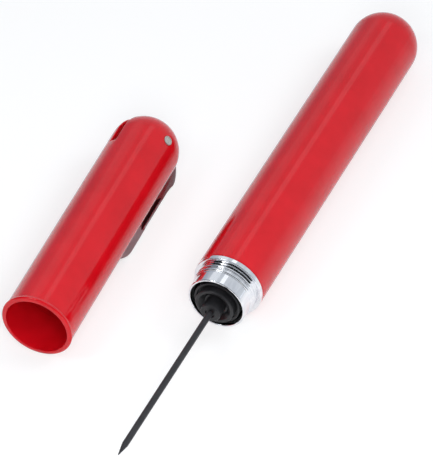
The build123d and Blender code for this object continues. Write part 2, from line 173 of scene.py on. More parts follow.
# %% [markdown]
# ## Helpers for node trees
#
# The surround, the floor and the finishes are all networks of nodes. One helper makes a node and
# fills its inputs, each with a value or with a link from another node. The others make the few
# knots that come back everywhere: a number calculated from others, a number carried from one
# range to another, and a colour mixed from two.

# %% Numbers and colours from nodes
def empty_tree(owner):
    """Node tree of a world or a material, without any nodes."""
    owner.use_nodes = True
    owner.node_tree.nodes.clear()
    return owner.node_tree


def fill(tree, node, inputs):
    """Sets each input to its value, or links it to a socket of another node."""
    for key, value in inputs.items():
        if isinstance(value, bpy.types.NodeSocket):
            tree.links.new(value, node.inputs[key])
        else:
            node.inputs[key].default_value = value


def add_node(tree, kind, inputs, **settings):
    """New node of a kind, with its settings and its inputs."""
    node = tree.nodes.new("ShaderNode" + kind)
    for name, setting in settings.items():
        setattr(node, name, setting)
    fill(tree, node, inputs)
    return node


def calculated(tree, operation, *values):
    """Result of a math node on sockets or numbers."""
    return add_node(tree, "Math", dict(enumerate(values)), operation=operation).outputs[0]


def product(tree, first, second):
    """Product of two numbers, each a socket or a value."""
    return calculated(tree, "MULTIPLY", first, second)


def ranged(tree, value, start, end, low=0.0, high=1.0, kind="LINEAR"):
    """Number that goes from low to high as the value goes from start to end, and no further."""
    inputs = {"Value": value, "From Min": start, "From Max": end, "To Min": low, "To Max": high}
    return add_node(tree, "MapRange", inputs, interpolation_type=kind).outputs[0]


def smooth_between(tree, value, start, end):
    """Smooth step from 0 to 1 as the value goes from start to end."""
    return ranged(tree, value, start, end, kind="SMOOTHSTEP")


def mixed(tree, factor, first, second):
    """Colour that goes from the first to the second as the factor goes from 0 to 1."""
    first, second = ((*c, 1.0) if isinstance(c, tuple) else c for c in (first, second))
    return add_node(tree, "Mix", {0: factor, 6: first, 7: second}, data_type="RGBA").outputs[2]


def light_path(tree, *kinds):
    """Number that is 1 where the ray is of one of the kinds, and 0 elsewhere."""
    ray = tree.nodes.new("ShaderNodeLightPath")
    found = ray.outputs[kinds[0]]
    for kind in kinds[1:]:
        found = calculated(tree, "MAXIMUM", found, ray.outputs[kind])
    return found


# %% [markdown]
# ## The surround
#
# The photograph is a catalogue picture: a white table, a pale surround and broad soft lamps. Gloss
# is drawn by what stands round the object, so the surround matters more than the lamps do. A few
# smooth steps between directions describe it:
#
# - it is white just over the horizon, where the table would meet the wall;
# - it is dimmer and bluer on the left, which keeps the left edges of the tubes a deep red;
# - it is dark in a band in front and in a patch on the left, where the camera and the unlit room
#   are. Only the ridges of the chrome neck face that way, and draw it as thin black stripes.

# %% World
surround_light = 0.66
surround_colour = (0.93, 0.99, 1.07)
left_colour = (0.38, 0.43, 0.55)
left_from, left_to = 0.50, 0.92
horizon_white = 1.0
white_to_height, white_ends_at = 0.03, 0.08
dark_room = 0.02
band_middle = Vector((0.42, -0.77, 0.48)).normalized()
band_reach = (52.0, 40.0)
band_across = Vector((0.479, 0.592, 0.648)).normalized()
band_half_width = (18.0, 27.0)
patch_middle = Vector((-0.75, -0.50, 0.40)).normalized()
patch_reach = (30.0, 20.0)

world = bpy.data.worlds.new("white_surround")
bpy.context.scene.world = world
tree = empty_tree(world)
ray_direction = tree.nodes.new("ShaderNodeTexCoord").outputs["Generated"]


def along(axis):
    """Cosine of the angle between the ray and an axis."""
    inputs = {0: ray_direction, 1: axis}
    return add_node(tree, "VectorMath", inputs, operation="DOT_PRODUCT").outputs["Value"]


def within(axis, outer, inner):
    """Number that is 1 within the inner angle from an axis, and 0 beyond the outer, in degrees."""
    return smooth_between(tree, along(axis), *np.cos(np.radians((outer, inner))).tolist())


def opposite(factor):
    """One less the factor."""
    return calculated(tree, "SUBTRACT", 1.0, factor)


from_band = calculated(tree, "ABSOLUTE", along(band_across))
off_band = smooth_between(tree, from_band, *np.sin(np.radians(band_half_width)).tolist())
band = product(tree, within(band_middle, *band_reach), opposite(off_band))
dark = calculated(tree, "MAXIMUM", band, within(patch_middle, *patch_reach))

over_horizon = smooth_between(tree, along((0, 0, 1)), white_to_height, white_ends_at)
seen = light_path(tree, "Is Camera Ray", "Is Glossy Ray", "Is Transmission Ray")
white_part = product(tree, seen, opposite(over_horizon))
brightness = ranged(tree, white_part, 0.0, 1.0, surround_light, horizon_white)
strength = product(tree, brightness, ranged(tree, dark, 0.0, 1.0, 1.0, dark_room))
to_left = smooth_between(tree, along((-1, 0, 0)), left_from, left_to)

colour = mixed(tree, to_left, surround_colour, left_colour)
background = add_node(tree, "Background", {"Color": colour, "Strength": strength})
add_node(tree, "OutputWorld", {"Surface": background.outputs[0]})
print("surround", surround_light, "and", horizon_white, "near the horizon")

# %% [markdown]
# ## The floor and the lamps
#
# The floor is a white sheet. A sheet alone comes out grey in the picture, and more light would
# bleach the object, so the camera sees it darker but with a glow of its own: that makes the
# background nearly white and leaves a light, soft shadow. Reflections see the real sheet, with the
# shadow beside each tube, which is what draws the dark red line along the cap's right side.
#
# The key lamp is a narrow one, high on the left, and shows as the pale line along each tube. Two
# strips behind the object draw the wide pale bands. The side lamp and the front lamp only brighten
# the right flanks, the cap's mouth and the neck's inside, so they are hidden from reflections.

# %% Floor
floor_size = 6.0
floor_white = 0.86
seen_white = 0.42
glow_for_camera = 0.62
glow_for_gloss = 0.10

half = floor_size / 2
floor_corners = [(-half, -half, 0), (half, -half, 0), (half, half, 0), (-half, half, 0)]
floor_mesh = bpy.data.meshes.new("floor")
floor_mesh.from_pydata(floor_corners, [], [(0, 1, 2, 3)])
floor = add_object("floor", floor_mesh)
floor_paint = bpy.data.materials.new("floor_white")
tree = empty_tree(floor_paint)
camera_ray = light_path(tree, "Is Camera Ray")
mirror_ray = light_path(tree, "Is Glossy Ray", "Is Transmission Ray")
paint = mixed(tree, camera_ray, (floor_white,) * 3, (seen_white,) * 3)
sheet = add_node(tree, "BsdfDiffuse", {"Color": paint})
camera_glow = product(tree, camera_ray, glow_for_camera)
mirror_glow = product(tree, mirror_ray, glow_for_gloss)
glow = add_node(tree, "Emission", {"Strength": calculated(tree, "ADD", camera_glow, mirror_glow)})
both = add_node(tree, "AddShader", {0: sheet.outputs[0], 1: glow.outputs[0]})
add_node(tree, "OutputMaterial", {"Surface": both.outputs[0]})
floor_mesh.materials.append(floor_paint)
print("floor", floor_size, "m")

# %% Lamps
lamp_target = Vector((0.0, 0.0, 0.012))
lamp_rows = [
    # Name, direction from the object, distance, width, height, watts, seen in reflections
    ("key_softbox", (-0.34, -0.42, 0.62), 0.58, 0.08, 0.28, 0.45, True),
    ("side_softbox", (0.58, 0.33, 0.74), 0.62, 0.22, 0.22, 0.72, False),
    ("front_softbox", (0.32, -0.72, 0.62), 0.50, 0.24, 0.16, 1.10, False),
    ("strip_softbox", (0.0, 0.641, 0.768), 1.20, 0.24, 0.60, 0.22, True),
    ("second_strip", (-0.48, 0.641, 0.60), 1.20, 0.34, 0.50, 0.09, True),
]

for name, direction, distance, width, height, watts, mirrored in lamp_rows:
    data = bpy.data.lights.new(name, "AREA")
    data.shape = "RECTANGLE"
    data.size = width
    data.size_y = height
    data.energy = watts
    lamp = add_object(name, data)
    aim(lamp, lamp_target, Vector(direction).normalized(), distance)
    lamp.visible_glossy = mirrored
    print(name, "radiance", round(watts / (math.pi * width * height), 2))

# %% [markdown]
# ## Finishes
#
# Every finish is made of nodes on a Principled shader. No real surface is one flat colour: the
# pigment drifts a little, the gloss varies where the surface was handled, and a very shallow
# relief breaks up reflections. All three come from noise in the object's own coordinates, at a
# size given in millimetres. One recipe serves for most of them, and each finish sets its own
# amounts. Metal shows the marks of its making as fine lines: that is noise stretched many times
# over along one direction, used for both the gloss and the relief.

# %% Noise and what it drives
noise_range = (0.3, 0.7)
ramp_range = (0.32, 0.68)


def shader_nodes(name):
    """New material with a Principled shader and the object's own coordinates."""
    material = bpy.data.materials.new(name)
    tree = empty_tree(material)
    shader = add_node(tree, "BsdfPrincipled", {})
    add_node(tree, "OutputMaterial", {"Surface": shader.outputs[0]})
    print("finish", name)
    return material, tree, shader, tree.nodes.new("ShaderNodeTexCoord").outputs["Object"]


def noise(tree, coordinates, size, detail=3.0, stretch=(1, 1, 1)):
    """Noise whose lumps are about the given size across, and longer where the stretch is small."""
    mapping = add_node(tree, "Mapping", {"Vector": coordinates, "Scale": stretch})
    inputs = {"Vector": mapping.outputs[0], "Scale": 1.0 / size, "Detail": detail}
    return add_node(tree, "TexNoise", inputs).outputs["Fac"]


def between(tree, factor, low, high):
    """Number that runs from low to high over the noise's usual range."""
    return ranged(tree, factor, *noise_range, low, high)


def two_colours(tree, factor, first, second):
    """Colour ramp between two colours over the noise's usual range."""
    ramp = tree.nodes.new("ShaderNodeValToRGB")
    for stop, place, colour in zip(ramp.color_ramp.elements, ramp_range, (first, second)):
        stop.position = place
        stop.color = (*colour, 1.0)
    tree.links.new(factor, ramp.inputs["Fac"])
    return ramp.outputs["Color"]


def bumps(tree, shader, factor, height, under=None):
    """Shallow relief on the shader's normal, over another relief if one is given."""
    inputs = {"Distance": height, "Height": factor}
    if under is not None:
        inputs["Normal"] = under.outputs[0]
    bump = add_node(tree, "Bump", inputs)
    tree.links.new(bump.outputs[0], shader.inputs["Normal"])
    return bump


# %% The recipe that most finishes share
def finish(name, colours, patches, rough, wear, relief, metallic=0.0, ior=1.5):
    """Finish from three kinds of noise, each a tuple of size, detail and stretch.

    The patches blend the two colours, the wear moves the roughness between its two limits, and
    each pair in the relief is a noise and its height, laid over the pair before it.
    """
    material, tree, shader, at = shader_nodes(name)
    fill(tree, shader, {
        "Base Color": two_colours(tree, noise(tree, at, *patches), *colours),
        "Roughness": between(tree, noise(tree, at, *wear), *rough),
        "Metallic": metallic,
        "IOR": ior,
    })
    under = None
    for grain, height in relief:
        under = bumps(tree, shader, noise(tree, at, *grain), height, under)
    return material


finishes = {}

# %% [markdown]
# ### Glossy red lacquer
#
# The sleeve and the cap are lacquered in a warm red with a hard clear gloss. The photograph shows
# the red almost without blue or green, except where it mirrors the white surround: faintly over
# the top and strongly at the edges. That is plain dielectric gloss, so the shader's own Fresnel
# does it, and the base colour stays deep. A thin drift in the pigment and a barely rippled gloss
# keep the long highlights from looking drawn with a ruler. The blade's carrier, in the cap's dome,
# is moulded in nearly the same red, with less gloss.

# %% Reds
finishes["red_gloss"] = finish(
    "red_lacquer",
    colours=((0.60, 0.0030, 0.0085), (0.67, 0.0045, 0.0115)),
    patches=(9 * mm, 4.0),
    rough=(0.07, 0.13),
    wear=(22 * mm, 5.0),
    relief=[((2.2 * mm, 2.0), 0.0012 * mm), ((0.25 * mm, 2.0), 0.0002 * mm)],
    ior=1.45,
)
finishes["red_moulding"] = finish(
    "moulded_red",
    colours=((0.60, 0.003, 0.006), (0.68, 0.004, 0.009)),
    patches=(5 * mm, 4.0),
    rough=(0.24, 0.36),
    wear=(8 * mm,),
    relief=[((0.12 * mm, 4.0), 0.002 * mm)],
)

# %% [markdown]
# ### Metals
#
# Chrome plate is nearly a mirror, and what makes it look real is its slight haze and its faint
# waves. Plain steel keeps fine lines along the third axis. The rod has the rings that a lathe
# leaves, because its noise is stretched along both directions across its length. The relief of
# the lines is about a thousandth of a millimetre.

# %% Chrome, steel and the rod's alloy
steel_lines = (0.12 * mm, 4.0, (1, 1, 0.15))
rod_rings = (0.10 * mm, 4.0, (0.05, 1, 0.05))

finishes["chrome"] = finish(
    "chrome_plate",
    colours=((0.80, 0.81, 0.84), (0.94, 0.94, 0.95)),
    patches=(1.6 * mm, 5.0, (1, 0.3, 1)),
    rough=(0.05, 0.10),
    wear=(1.5 * mm, 5.0),
    relief=[((3 * mm, 2.0, (1, 0.4, 1)), 0.008 * mm)],
    metallic=1.0,
)
finishes["steel"] = finish(
    "plain_steel",
    colours=((0.68, 0.72, 0.65), (0.76, 0.80, 0.73)),
    patches=(6 * mm,),
    rough=(0.22, 0.36),
    wear=steel_lines,
    relief=[(steel_lines, 0.0015 * mm)],
    metallic=1.0,
)
finishes["rod_alloy"] = finish(
    "rod_alloy",
    colours=((0.68, 0.69, 0.71), (0.77, 0.78, 0.80)),
    patches=(6 * mm,),
    rough=(0.25, 0.40),
    wear=rod_rings,
    relief=[(rod_rings, 0.0015 * mm)],
    metallic=1.0,
)

# %% [markdown]
# ### The blade
#
# The blade lies askew in the row frame, so its finish is laid out in the cap's own axes: a mapping
# of the texture kind takes the object's coordinates back into the cap's frame. There x goes through
# the blade, y along it and z from its back towards the cap's axis. Grinding lines run across a
# blade, from its back to its edge. The floor of the nail nick is painted near black as painted
# shade, so a mask picks out its floor: it lies deeper than the blade's faces, between two heights
# and between two places along the blade. Below the nick the face is ground more coarsely, so it
# takes up more of the pale surround.

# %% Ground blade steel
nick_inside = 0.86 * mm
nick_from_back, nick_to_edge = -15.2 * mm, -11.8 * mm
nick_bottom, nick_top = 65.6 * mm, 83.7 * mm
# Painted shade: the floor of the nail nick is drawn in this near-black colour.
nick_painted_shade = (0.05, 0.045, 0.045)
coarse_fade = 1 * mm
coarser_by = 0.30
fine_rough = (0.14, 0.26)
line_size = 0.07 * mm
line_stretch = (1, 1, 0.02)
line_height = 0.0008 * mm


def inside_limits(tree, value, low, high, soft):
    """Number that is 1 where the value lies between two limits, with a short slope at each."""
    rising = ranged(tree, value, low - soft, low + soft)
    falling = ranged(tree, value, high - soft, high + soft, 1.0, 0.0)
    return product(tree, rising, falling)


def ground_blade():
    """Steel with grinding lines, painted shade on the nick's floor and a coarser face below it."""
    material, tree, shader, at = shader_nodes("ground_blade")
    inputs = {"Vector": at, "Location": cap_origin, "Rotation": cap_place.to_euler()}
    local = add_node(tree, "Mapping", inputs, vector_type="TEXTURE").outputs[0]
    through, lengthwise, inwards = add_node(tree, "SeparateXYZ", {0: local}).outputs
    nick = product(
        tree,
        inside_limits(tree, through, -nick_inside, nick_inside, 0.01 * mm),
        inside_limits(tree, inwards, nick_from_back, nick_to_edge, 0.02 * mm),
    )
    nick = product(tree, nick, inside_limits(tree, lengthwise, nick_bottom, nick_top, 0.1 * mm))
    patches = two_colours(tree, noise(tree, local, 6 * mm), (0.44, 0.43, 0.44), (0.52, 0.51, 0.52))
    # Painted shade: the nick's mask blends the steel into near black.
    colour = mixed(tree, nick, patches, nick_painted_shade)
    lines = noise(tree, local, line_size, 4.0, line_stretch)
    coarse = smooth_between(tree, lengthwise, nick_bottom + coarse_fade, nick_bottom - coarse_fade)
    fine = between(tree, lines, *fine_rough)
    rough = calculated(tree, "ADD", fine, product(tree, coarse, coarser_by))
    fill(tree, shader, {"Base Color": colour, "Roughness": rough, "Metallic": 1.0})
    bumps(tree, shader, lines, line_height)
    return material


finishes["blade_steel"] = ground_blade()

# %% [markdown]
# ### Plastics, coating and rubber
#
# The seat and the hub inside the neck are turned black plastic. Rings from the lathe catch the
# light as pale arcs in the photograph, so their relief is a ring pattern round the pump's axis,
# centred on it by the mapping. A wave node goes through twenty radians in each unit of its
# coordinates, and a ring is a full turn, so 0.22 mm to the radian sets the rings 1.4 mm apart.
# The needle has a dark satin coating, which keeps it from sticking in the cork, with faint lines
# along its length. The white parts inside are plain mouldings.

# %% Turned black plastic
ring_radian = 0.22 * mm
wave_radians = 20


def turned_black():
    """Black plastic with a lathe's rings and a fine grain over them."""
    material, tree, shader, at = shader_nodes("turned_black")
    patches = noise(tree, at, 2 * mm)
    black = two_colours(tree, patches, (0.011, 0.011, 0.012), (0.018, 0.0175, 0.0195))
    rough = between(tree, noise(tree, at, 1.2 * mm, 4.0), 0.28, 0.38)
    fill(tree, shader, {"Base Color": black, "Roughness": rough, "IOR": 1.42})
    centred = add_node(tree, "Mapping", {"Vector": at, "Location": -pump_origin}).outputs[0]
    scale = 1.0 / (ring_radian * wave_radians)
    inputs = {"Vector": centred, "Scale": scale, "Distortion": 0.4, "Detail": 1.0}
    rings = add_node(tree, "TexWave", inputs, wave_type="RINGS", rings_direction="Y")
    ringed = bumps(tree, shader, rings.outputs["Fac"], 0.0015 * mm)
    bumps(tree, shader, noise(tree, at, 0.1 * mm, 3.0), 0.002 * mm, ringed)
    return material


finishes["black_plastic"] = turned_black()

# %% Coating, white mouldings and black rubber
coating_lines = (0.12 * mm, 3.0, (1, 0.04, 1))

finishes["needle_coat"] = finish(
    "dark_coating",
    colours=((0.026, 0.025, 0.028), (0.036, 0.035, 0.038)),
    patches=(3 * mm, 4.0),
    rough=(0.38, 0.48),
    wear=coating_lines,
    relief=[(coating_lines, 0.002 * mm)],
    ior=1.35,
)
finishes["white_plastic"] = finish(
    "white_moulding",
    colours=((0.74, 0.74, 0.71), (0.80, 0.80, 0.78)),
    patches=(4 * mm,),
    rough=(0.35, 0.5),
    wear=(3 * mm, 4.0),
    relief=[((0.15 * mm,), 0.003 * mm)],
)
finishes["black_rubber"] = finish(
    "black_rubber",
    colours=((0.003, 0.003, 0.003), (0.006, 0.006, 0.006)),
    patches=(4 * mm,),
    rough=(0.6, 0.8),
    wear=(3 * mm, 4.0),
    relief=[((0.08 * mm,), 0.006 * mm)],
)

# %% Finishes of the CAD nodes
for part in frame["record"]["subparts"]:
    mesh = nodes[part["node"]].data
    mesh.materials.clear()
    mesh.materials.append(finishes[part["material_slot"]])

# %% [markdown]
# ## Helpers for surfaces
#
# Nearly every piece of this object was turned or moulded round an axis, so one helper carries a
# profile round the Y axis as a whole numpy grid. A second helper rounds the corners of a profile,
# because a glossy edge without a radius looks like paper. A third puts the arrays into a mesh,
# closes the poles, and checks by the enclosed volume that the faces point outwards.

# %% Profile with rounded corners
def unit(v):
    """Vector of length one."""
    return v / np.linalg.norm(v)


def rounded_profile(corners, steps=8):
    """Profile through corners of (radius, y) or (radius, y, rounding), with an arc at a rounding.

    With h half the angle at a corner and r its rounding, the arc starts and ends r / tan(h) from
    the corner, and its centre lies r / sin(h) along the line that halves the angle.
    """
    places = np.array([corner[:2] for corner in corners], float)
    parts = []
    for i, corner in enumerate(corners):
        place = places[i]
        if len(corner) == 2:
            parts.append(place[None])
            continue
        r = corner[2]
        back = unit(places[i - 1] - place)
        on = unit(places[(i + 1) % len(places)] - place)
        h = math.acos(float(back @ on)) / 2
        centre = place + unit(back + on) * r / math.sin(h)
        a = place + back * r / math.tan(h) - centre
        b = place + on * r / math.tan(h) - centre
        whole = math.pi - 2 * h
        t = np.linspace(0, 1, steps + 1)[:, None]
        turn = (np.sin((1 - t) * whole) * a + np.sin(t * whole) * b) / math.sin(whole)
        parts.append(centre + turn)
    return np.concatenate(parts)


def arc(centre, radius, start, end, steps):
    """Arc of a circle from one angle to another, in degrees, from the +radius direction."""
    t = np.radians(np.linspace(start, end, steps + 1))
    return np.stack([centre[0] + radius * np.cos(t), centre[1] + radius * np.sin(t)], 1)


def held(profile, hold, closed=True):
    """Profile with two more points on each long run, near its ends, which keeps shading flat."""
    following = np.roll(profile, -1, 0) if closed else profile[1:]
    start = profile if closed else profile[:-1]
    run = following - start
    length = np.linalg.norm(run, axis=1)
    long = length > 4 * hold
    step = np.where(long, hold / np.maximum(length, 1e-12), 0)[:, None]
    three = np.stack([start, start + run * step, following - run * step], 1).reshape(-1, 2)
    keep = np.repeat(long, 3)
    keep[::3] = True
    points = three[keep]
    return points if closed else np.vstack([points, profile[-1]])


# %% Grids of cells
def grid_quads(rows, columns, close_rows=False, close_columns=False):
    """Four corner numbers of each cell of a grid whose points are numbered row by row."""
    r = np.arange(rows if close_rows else rows - 1)[:, None]
    c = np.arange(columns if close_columns else columns - 1)[None, :]
    r2, c2 = (r + 1) % rows, (c + 1) % columns
    cells = [r * columns + c, r * columns + c2, r2 * columns + c2, r2 * columns + c]
    shape = (len(r), c.shape[1])
    return np.stack([np.broadcast_to(cell, shape) for cell in cells], -1).reshape(-1, 4)


def turned(profile, around, closed=True):
    """Surface of revolution: x = r cos t, y = y, z = r sin t, for the profile's points (r, y)."""
    t = np.linspace(0, 2 * np.pi, around, endpoint=False)
    r, y = profile[:, :1], np.broadcast_to(profile[:, 1:], (len(profile), around))
    points = np.stack([r * np.cos(t), y, r * np.sin(t)], -1).reshape(-1, 3)
    return points, grid_quads(len(profile), around, closed, True)


def enclosed_volume(points, quads):
    """Sum of the signed volumes of the pyramids from the origin to each cell's two triangles."""
    a, b, c, d = (points[quads[:, i]] for i in range(4))
    return float((np.cross(a, b) * c).sum() + (np.cross(a, c) * d).sum()) / 6


# %% Meshes
merge_distance = 0.0008 * mm
sliver_length = 0.0002 * mm
bevel_steps = 3


def shade(mesh, sharp_degrees=32):
    """Smooth shading that breaks at edges sharper than an angle."""
    mesh.shade_smooth()
    mesh.set_sharp_from_angle(angle=math.radians(sharp_degrees))


@contextmanager
def edited(mesh):
    """Opens a mesh for changes, writes them back and counts the edges left open."""
    work = bmesh.new()
    work.from_mesh(mesh)
    yield work
    open_edges = sum(1 for edge in work.edges if not edge.is_manifold)
    work.to_mesh(mesh)
    work.free()
    print(f"{mesh.name}: {len(mesh.polygons)} faces, {open_edges} open edges")


def new_piece(name, points, quads, place, slot):
    """Mesh object from local points and cells, placed, closed, faced outwards and shaded smooth."""
    if enclosed_volume(points, quads) < 0:
        quads = quads[:, ::-1]
    turn = np.array(place.to_3x3())
    points = points @ turn.T + np.array(place.translation)
    mesh = bpy.data.meshes.new(name)
    mesh.from_pydata(points.tolist(), [], quads.tolist())
    with edited(mesh) as work:
        bmesh.ops.remove_doubles(work, verts=work.verts, dist=merge_distance)
        bmesh.ops.dissolve_degenerate(work, edges=work.edges, dist=sliver_length)
    shade(mesh)
    mesh.materials.append(finishes[slot])
    return add_object(name, mesh)


def stands_for(piece, node):
    """Lets the piece take the CAD node's place on the node's own body."""
    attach(piece, nodes[node]["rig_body"])
    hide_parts(node)


def turned_piece(name, profile, node, slot, around, hold=0.3 * mm, closed=True):
    """Piece made by carrying a profile round the pump's axis, which stands for a node."""
    points, quads = turned(held(profile, hold, closed), around, closed)
    piece = new_piece(name, points, quads, pump_place, slot)
    stands_for(piece, node)
    return piece


# %% Cuts and bevels
def settle(piece):
    """Makes the result of the piece's modifiers its own mesh."""
    bpy.context.view_layer.update()
    done = piece.evaluated_get(bpy.context.evaluated_depsgraph_get())
    mesh = bpy.data.meshes.new_from_object(done)
    piece.modifiers.clear()
    piece.data = mesh


def cut_away(piece, cutter):
    """Takes the cutter's shape out of the piece, and removes the cutter."""
    cut = piece.modifiers.new("cut", "BOOLEAN")
    cut.operation = "DIFFERENCE"
    cut.solver = "EXACT"
    cut.object = cutter
    settle(piece)
    bpy.data.objects.remove(cutter)
    shade(piece.data)


def soften_edges(piece, width, from_degrees):
    """Bevels the edges that are sharper than an angle."""
    bevel = piece.modifiers.new("soft_edges", "BEVEL")
    bevel.width = width
    bevel.segments = bevel_steps
    bevel.limit_method = "ANGLE"
    bevel.angle_limit = math.radians(from_degrees)
    settle(piece)


# %% [markdown]
# ## The handle sleeve
#
# The sleeve is a deep-drawn tube closed by a half-sphere, with a boss inside the dome for the
# rod. One profile says it all: up the rod's socket, down the boss, out over the inside of the
# dome, down the bore, round the mouth's edge, up the outside and over the dome to the axis. The
# dome is a quarter circle in the profile, so its curve meets the tube without a kink.

# %% Sizes shared by the two tubes
tube_radius = 12.5 * mm
sleeve_bore = 11.2 * mm
sleeve_length = 131.3 * mm
edge_round = 0.2 * mm


def quarter_dome(radius, y, inner=0.0, steps=48):
    """Quarter circle from the tube's side, at the dome's base, in to the inner radius."""
    return arc((0.0, y), radius, 0, math.degrees(math.acos(inner / radius)), steps)


# %% Sleeve
boss_radius = 5.0 * mm
boss_bottom = 126.0 * mm
boss_round = 0.15 * mm
socket_radius = 2.5 * mm
socket_top = 136.0 * mm

boss = rounded_profile([
    (0, socket_top),
    (socket_radius, socket_top),
    (socket_radius, boss_bottom, boss_round),
    (boss_radius, boss_bottom),
])
mouth_edge = rounded_profile([
    (sleeve_bore, sleeve_length / 2),
    (sleeve_bore, sleeve_end_gap, edge_round),
    (tube_radius, sleeve_end_gap, edge_round),
    (tube_radius, sleeve_length / 2),
])
profile = np.concatenate([
    boss,
    quarter_dome(sleeve_bore, sleeve_length, boss_radius)[::-1],
    mouth_edge,
    quarter_dome(tube_radius, sleeve_length, steps=64),
])
turned_piece("handle_skin", profile, "handle_sleeve", "red_gloss", around=192, closed=False)

# %% [markdown]
# ## The chrome neck
#
# The neck is a turned brass ring with a bright plate. Its flange closes the sleeve, two rounded
# ridges snap into the cap, and the thin rim is rounded on both sides. Each ridge is a circle's
# crest with a hollow fillet at each foot. Those fillets matter: they are the only places that face
# the dark part of the room, and they draw the black stripes beside the ridges.

# %% Ridges
neck_radius = 10.55 * mm
ridge_crest = 0.5 * mm
ridge_centre = 11.13 * mm - ridge_crest
ridge_foot = 0.3 * mm
ridge_places = (-3.6 * mm, -5.35 * mm)
foot_steps, crest_steps = 5, 20


def ridge(y):
    """Crest with a hollow fillet before and after it, going towards -Y.

    Crest and fillet touch where the line between their centres crosses both circles.
    """
    foot_radius = neck_radius + ridge_foot
    between_centres = ridge_crest + ridge_foot
    away = math.sqrt(between_centres**2 - (foot_radius - ridge_centre) ** 2)
    lean = math.degrees(math.atan2(away, foot_radius - ridge_centre))
    first = arc((foot_radius, y + away), ridge_foot, 180, 180 + lean, foot_steps)
    crest = arc((ridge_centre, y), ridge_crest, lean, -lean, crest_steps)
    last = arc((foot_radius, y - away), ridge_foot, 180 - lean, 180, foot_steps)
    return np.concatenate([first, crest, last])


# %% Neck
flange_thickness = 1.8 * mm
neck_front = -10.8 * mm
neck_bore = 9.7 * mm
cavity_floor = -1.0 * mm
stem_hole = 5.984 * mm
spigot_radius = 8.8 * mm
spigot_length = 6.0 * mm
groove_floor = 7.37 * mm
groove_start = 2.6 * mm
groove_end = 4.2 * mm
flange_round = 0.25 * mm
rim_round = 0.35 * mm

rear = rounded_profile([
    (stem_hole, spigot_length),
    (spigot_radius, spigot_length),
    (spigot_radius, groove_end),
    (groove_floor, groove_end),
    (groove_floor, groove_start),
    (spigot_radius, groove_start),
    (spigot_radius, 0),
    (tube_radius, 0, flange_round),
    (tube_radius, -flange_thickness, flange_round),
    (neck_radius, -flange_thickness, flange_round),
    (neck_radius, neck_front),
])[:-1]
front = rounded_profile([
    (neck_radius, -flange_thickness),
    (neck_radius, neck_front, rim_round),
    (neck_bore, neck_front, rim_round),
    (neck_bore, cavity_floor),
    (stem_hole, cavity_floor),
])[1:]
profile = np.concatenate([rear, *[ridge(y) for y in ridge_places], front])
turned_piece("neck_plated", profile, "neck_collar", "chrome", around=192, hold=0.2 * mm)

# %% [markdown]
# ## What sits inside the neck
#
# A black sleeve lines the neck's bore. In it stands a black seat with a flat ring and, nearer to
# the middle, a taller lip round a dish, and from the dish rises the hub that holds the needle. The
# photograph shows them as a few grey arcs, so their edges need true radii to catch the light. The
# needle is a thin tube with a long pencil point and two side holes behind the point, which let the
# air out below the cork and are drilled with a small cutter.

# %% Needle seat
seat_radius = 8.5 * mm
seat_round = 0.35 * mm
ring_front = -10.3 * mm
ring_inner = 7.5 * mm
ring_round = 0.3 * mm
groove_bottom = -9.6 * mm
groove_round = 0.1 * mm
lip_radius = 7.1 * mm
lip_inner = 5.893 * mm
lip_front = -12.5 * mm
lip_round = 0.4 * mm
dish_root = 4.26 * mm
dish_floor = -10.7 * mm
dish_round = 0.3 * mm
seat_base = -1.8 * mm
hub_hole = 2.888 * mm
stem_rear = 7.5 * mm
hub_stem_end = -4.4 * mm
chamber_radius = 3.411 * mm
chamber_floor = -2.8 * mm
channel_radius = 1.48 * mm

profile = rounded_profile([
    (chamber_radius, stem_rear),
    (stem_hole, stem_rear),
    (stem_hole, seat_base),
    (seat_radius, seat_base, seat_round),
    (seat_radius, ring_front, ring_round),
    (ring_inner, ring_front, ring_round),
    (ring_inner, groove_bottom, groove_round),
    (lip_radius, groove_bottom, groove_round),
    (lip_radius, lip_front, lip_round),
    (lip_inner, lip_front, lip_round),
    (dish_root, dish_floor, dish_round),
    (hub_hole, dish_floor),
    (hub_hole, hub_stem_end),
    (channel_radius, hub_stem_end),
    (channel_radius, chamber_floor),
    (chamber_radius, chamber_floor),
])
turned_piece("seat_turned", profile, "needle_seat", "black_plastic", around=144, hold=0.15 * mm)

# %% Liner
liner_outer = neck_bore - 0.02 * mm
liner_inner = 9.2 * mm
liner_front = -9.0 * mm
liner_round, liner_inner_round = 0.1 * mm, 0.15 * mm

profile = rounded_profile([
    (liner_inner, cavity_floor),
    (liner_outer, cavity_floor),
    (liner_outer, liner_front, liner_round),
    (liner_inner, liner_front, liner_inner_round),
])
turned_piece("liner_sleeve", profile, "neck_liner", "black_rubber", around=144, hold=0.15 * mm)

# %% Needle hub
hub_radius = 3.61 * mm
hub_front = -15.8 * mm
hub_round = 0.45 * mm
well_radius = 1.805 * mm
well_floor = -15.3 * mm
well_round = 0.16 * mm
tail_radius = 0.8 * mm

profile = rounded_profile([
    (tail_radius, hub_stem_end),
    (hub_hole, hub_stem_end),
    (hub_hole, dish_floor),
    (hub_radius, dish_floor),
    (hub_radius, hub_front, hub_round),
    (well_radius, hub_front, well_round),
    (well_radius, well_floor),
    (tail_radius, well_floor),
])
turned_piece("hub_turned", profile, "needle_hub", "black_plastic", around=128, hold=0.15 * mm)

# %% Needle
needle_radius = 1.1 * mm
needle_bore = 0.55 * mm
needle_tip = -86.4 * mm
needle_tail = -5.2 * mm
point_length = 5.1 * mm
point_flat = 0.15 * mm
shoulder_round = 0.08 * mm
taper_round = 0.9 * mm
tip_round = 0.1 * mm
side_hole_radius = 0.35 * mm
side_hole_place = -78.4 * mm
bore_end = side_hole_place - 2 * side_hole_radius

